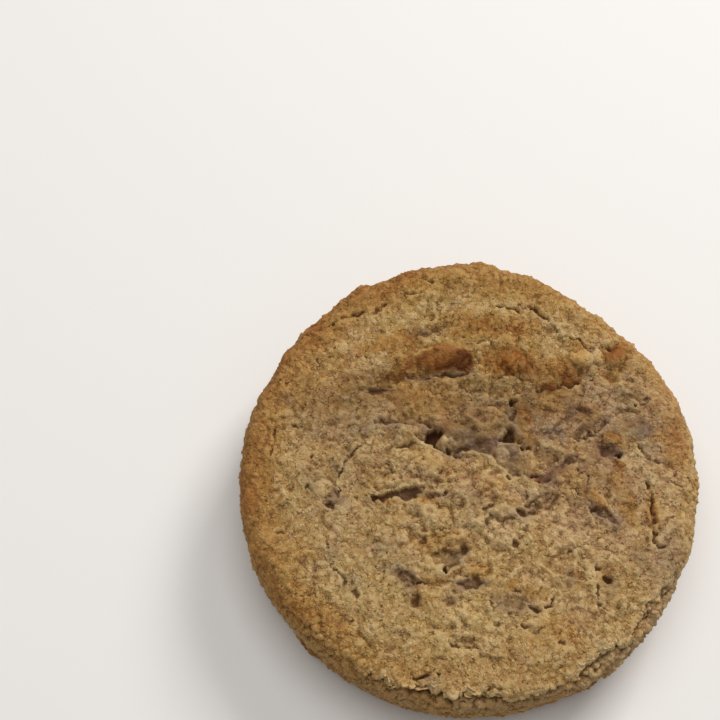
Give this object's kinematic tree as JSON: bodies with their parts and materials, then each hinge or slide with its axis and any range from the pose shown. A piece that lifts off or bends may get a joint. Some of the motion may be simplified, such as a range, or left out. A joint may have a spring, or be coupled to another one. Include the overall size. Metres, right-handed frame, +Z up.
{
  "type": "peanut butter cookie",
  "caption": "Thick round baked cookie with an upright side, a raised rim, a browned fold and a sunken, cracked and pitted top. It rests on a flat underside.",
  "frame": {"origin": "centre of the flat underside", "axes": "+Z up through the thickness, out of the cracked top; +Y to the side with the browned fold; +X to the right as the fold is seen at the far side"},
  "size_m": [0.0702, 0.07, 0.0166],
  "materials": {
    "crust": "dry, sandy baked crust, golden tan on top, darker brown round the side and underneath"
  },
  "bodies": {
    "root": {"cookie": "crust"}
  },
  "joints": []
}
